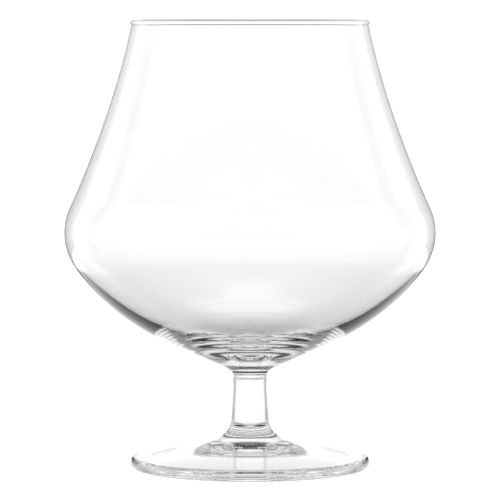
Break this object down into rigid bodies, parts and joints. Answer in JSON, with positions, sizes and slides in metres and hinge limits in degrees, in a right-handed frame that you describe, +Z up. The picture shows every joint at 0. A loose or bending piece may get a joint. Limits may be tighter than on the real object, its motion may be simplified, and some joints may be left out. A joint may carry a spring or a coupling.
{
  "type": "brandy snifter",
  "caption": "Clear glass snifter with a wide low belly drawn in to a narrow beaded rim, on a short solid stem and a round foot; holds and warms a pour of spirits.",
  "frame": {"origin": "centre of the foot, on the table it stands on", "axes": "+Z up along the glass's own axis, from the foot to the rim; the glass is round, so +X and +Y are any two square directions"},
  "size_m": [0.118, 0.118, 0.143],
  "materials": {
    "glass": "clear, fire polished"
  },
  "bodies": {
    "root": {"bowl": "glass", "stem": "glass", "foot": "glass"}
  },
  "joints": []
}
